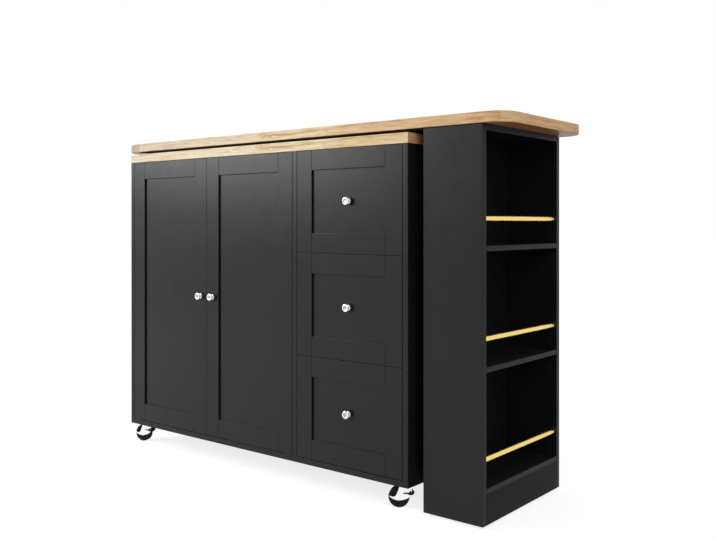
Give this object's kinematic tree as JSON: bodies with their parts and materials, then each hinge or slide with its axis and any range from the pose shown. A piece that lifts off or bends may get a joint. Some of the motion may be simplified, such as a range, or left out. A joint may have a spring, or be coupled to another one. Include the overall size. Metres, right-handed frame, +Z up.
{
  "type": "rolling kitchen island",
  "caption": "Kitchen island on casters: a cabinet with doors and drawers, and a long table top with an open shelf tower under its far end that swings out on a bearing.",
  "frame": {"origin": "on the floor under the middle of the whole island's outline, in use with the table over the cabinet", "axes": "+X along the front from the doors to the drawers and the shelf tower, +Y from the front to the back, +Z up"},
  "size_m": [1.354, 0.444, 0.917],
  "materials": {
    "black_lacquer": "satin black lacquer on board",
    "oak_top": "clear satin lacquer",
    "drawer_board": "clear satin lacquer",
    "chrome": "polished plating",
    "zinc_steel": "zinc plated sheet",
    "black_steel": "satin black paint on steel",
    "brass": "polished",
    "black_rubber": "matte",
    "black_plastic": "moulded, fine grain"
  },
  "bodies": {
    "cabinet": {"left_side_panel": "black_lacquer", "right_side_panel": "black_lacquer", "centre_divider": "black_lacquer", "bottom_panel": "black_lacquer", "back_panel": "black_lacquer", "top_rails": "black_lacquer", "worktop": "oak_top", "inner_shelf": "black_lacquer", "shelf_brackets": "zinc_steel", "door_pivot_plates": "black_steel", "outer_runners": "zinc_steel", "swivel_base_plate": "zinc_steel", "cabinet_caster_plates": "zinc_steel"},
    "left_door": {"left_door": "black_lacquer", "left_door_fittings": "chrome"},
    "right_door": {"right_door": "black_lacquer", "right_door_fittings": "chrome"},
    "table": {"table_top": "oak_top", "swivel_top_plate": "zinc_steel", "tower_front_panel": "black_lacquer", "tower_back_panel": "black_lacquer", "tower_inner_panel": "black_lacquer", "tower_top_panel": "black_lacquer", "tower_shelves": "black_lacquer", "tower_caster_board": "black_lacquer", "tower_plinth": "black_lacquer", "tower_rods": "brass", "tower_caster_plates": "zinc_steel"},
    "lower_drawer": {"lower_drawer_front": "black_lacquer", "lower_drawer_box": "drawer_board", "lower_drawer_fittings": "chrome"},
    "lower_middle_runners": {"lower_drawer_middle_runners": "zinc_steel"},
    "middle_drawer": {"middle_drawer_front": "black_lacquer", "middle_drawer_box": "drawer_board", "middle_drawer_fittings": "chrome"},
    "middle_middle_runners": {"middle_drawer_middle_runners": "zinc_steel"},
    "upper_drawer": {"upper_drawer_front": "black_lacquer", "upper_drawer_box": "drawer_board", "upper_drawer_fittings": "chrome"},
    "upper_middle_runners": {"upper_drawer_middle_runners": "zinc_steel"},
    "front_left_fork": {"front_left_fork": "chrome"},
    "front_left_wheel": {"front_left_wheel": "black_rubber"},
    "front_left_pedal": {"front_left_brake_pedal": "black_plastic"},
    "front_right_fork": {"front_right_fork": "chrome"},
    "front_right_wheel": {"front_right_wheel": "black_rubber"},
    "front_right_pedal": {"front_right_brake_pedal": "black_plastic"},
    "back_left_fork": {"back_left_fork": "chrome"},
    "back_left_wheel": {"back_left_wheel": "black_rubber"},
    "back_right_fork": {"back_right_fork": "chrome"},
    "back_right_wheel": {"back_right_wheel": "black_rubber"},
    "tower_front_fork": {"tower_front_fork": "chrome"},
    "tower_front_wheel": {"tower_front_wheel": "black_rubber"},
    "tower_back_fork": {"tower_back_fork": "chrome"},
    "tower_back_wheel": {"tower_back_wheel": "black_rubber"}
  },
  "joints": [
    {"name": "table_swing", "type": "hinge", "parent": "cabinet", "child": "table", "pos_m": [-0.511, -0.008, 0.892], "axis": [0, 0, -1], "range_deg": [0, 180]},
    {"name": "left_door_hinge", "type": "hinge", "parent": "cabinet", "child": "left_door", "pos_m": [-0.5873, -0.2035, 0.466], "axis": [0, 0, -1], "range_deg": [0, 110]},
    {"name": "right_door_hinge", "type": "hinge", "parent": "cabinet", "child": "right_door", "pos_m": [0.0603, -0.2035, 0.466], "axis": [0, 0, 1], "range_deg": [0, 90]},
    {"name": "lower_drawer_slide", "type": "slide", "parent": "cabinet", "child": "lower_drawer", "axis": [0, -1, 0], "range_m": [0, 0.3]},
    {"name": "lower_runner_slide", "type": "slide", "parent": "cabinet", "child": "lower_middle_runners", "axis": [0, -1, 0], "range_m": [0, 0.15]},
    {"name": "middle_drawer_slide", "type": "slide", "parent": "cabinet", "child": "middle_drawer", "axis": [0, -1, 0], "range_m": [0, 0.3]},
    {"name": "middle_runner_slide", "type": "slide", "parent": "cabinet", "child": "middle_middle_runners", "axis": [0, -1, 0], "range_m": [0, 0.15]},
    {"name": "upper_drawer_slide", "type": "slide", "parent": "cabinet", "child": "upper_drawer", "axis": [0, -1, 0], "range_m": [0, 0.3]},
    {"name": "upper_runner_slide", "type": "slide", "parent": "cabinet", "child": "upper_middle_runners", "axis": [0, -1, 0], "range_m": [0, 0.15]},
    {"name": "front_left_swivel", "type": "hinge", "parent": "cabinet", "child": "front_left_fork", "pos_m": [-0.578, -0.162, 0.055], "axis": [0, 0, 1], "continuous": true},
    {"name": "front_left_roll", "type": "hinge", "parent": "front_left_fork", "child": "front_left_wheel", "pos_m": [-0.59797, -0.16849, 0.025], "axis": [-0.309, 0.9511, 0], "continuous": true},
    {"name": "front_left_brake", "type": "hinge", "parent": "front_left_fork", "child": "front_left_pedal", "pos_m": [-0.57229, -0.16015, 0.037], "axis": [-0.309, 0.9511, 0], "range_deg": [0, 8]},
    {"name": "front_right_swivel", "type": "hinge", "parent": "cabinet", "child": "front_right_fork", "pos_m": [0.401, -0.162, 0.055], "axis": [0, 0, 1], "continuous": true},
    {"name": "front_right_roll", "type": "hinge", "parent": "front_right_fork", "child": "front_right_wheel", "pos_m": [0.38229, -0.17153, 0.025], "axis": [-0.454, 0.891, 0], "continuous": true},
    {"name": "front_right_brake", "type": "hinge", "parent": "front_right_fork", "child": "front_right_pedal", "pos_m": [0.40635, -0.15928, 0.037], "axis": [-0.454, 0.891, 0], "range_deg": [0, 8]},
    {"name": "back_left_swivel", "type": "hinge", "parent": "cabinet", "child": "back_left_fork", "pos_m": [-0.578, 0.176, 0.055], "axis": [0, 0, 1], "continuous": true},
    {"name": "back_left_roll", "type": "hinge", "parent": "back_left_fork", "child": "back_left_wheel", "pos_m": [-0.599, 0.176, 0.025], "axis": [0, 1, 0], "continuous": true},
    {"name": "back_right_swivel", "type": "hinge", "parent": "cabinet", "child": "back_right_fork", "pos_m": [0.401, 0.176, 0.055], "axis": [0, 0, 1], "continuous": true},
    {"name": "back_right_roll", "type": "hinge", "parent": "back_right_fork", "child": "back_right_wheel", "pos_m": [0.38, 0.176, 0.025], "axis": [0, 1, 0], "continuous": true},
    {"name": "tower_front_swivel", "type": "hinge", "parent": "table", "child": "tower_front_fork", "pos_m": [0.54, -0.1065, 0.055], "axis": [0, 0, 1], "continuous": true},
    {"name": "tower_front_roll", "type": "hinge", "parent": "tower_front_fork", "child": "tower_front_wheel", "pos_m": [0.519, -0.1065, 0.025], "axis": [0, 1, 0], "continuous": true},
    {"name": "tower_back_swivel", "type": "hinge", "parent": "table", "child": "tower_back_fork", "pos_m": [0.54, 0.1105, 0.055], "axis": [0, 0, 1], "continuous": true},
    {"name": "tower_back_roll", "type": "hinge", "parent": "tower_back_fork", "child": "tower_back_wheel", "pos_m": [0.519, 0.1105, 0.025], "axis": [0, 1, 0], "continuous": true}
  ],
  "couplings": [
    {"joint": "lower_runner_slide", "follows": "lower_drawer_slide", "ratio": 0.5},
    {"joint": "middle_runner_slide", "follows": "middle_drawer_slide", "ratio": 0.5},
    {"joint": "upper_runner_slide", "follows": "upper_drawer_slide", "ratio": 0.5}
  ]
}
